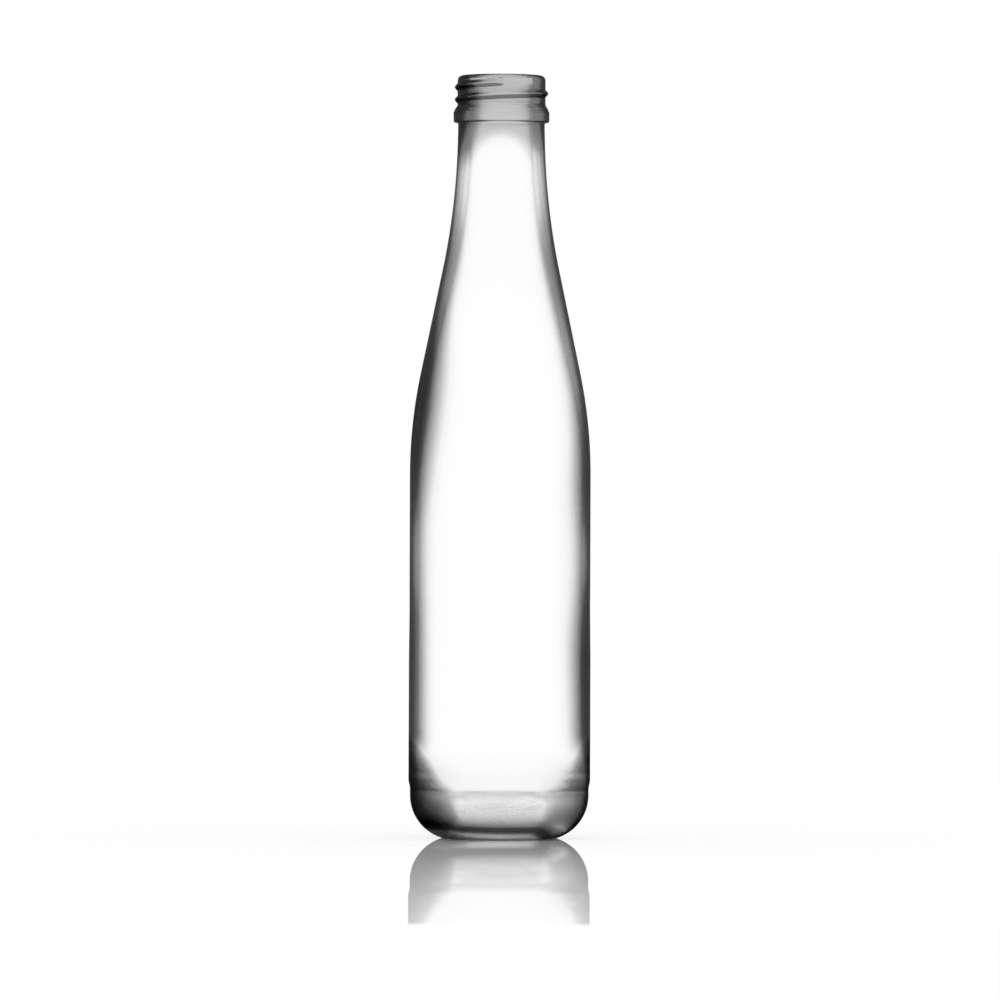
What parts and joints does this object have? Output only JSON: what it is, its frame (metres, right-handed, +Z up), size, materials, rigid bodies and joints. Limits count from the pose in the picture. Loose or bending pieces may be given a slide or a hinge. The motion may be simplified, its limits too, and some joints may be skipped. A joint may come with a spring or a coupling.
{
  "type": "soda bottle",
  "caption": "Empty clear glass soda bottle: straight body, long tapered neck, bead and one-start screw finish with an open mouth.",
  "frame": {"origin": "middle of the bearing ring, on the surface that the bottle stands on", "axes": "+Z up along the bottle's axis to the mouth; -Y is the front, where the thread starts; +X to the right seen from the front"},
  "size_m": [0.0529, 0.0528, 0.2219],
  "materials": {
    "clear_glass": "fire-polished clear soda-lime glass"
  },
  "bodies": {
    "root": {"glass_bottle": "clear_glass"}
  },
  "joints": []
}
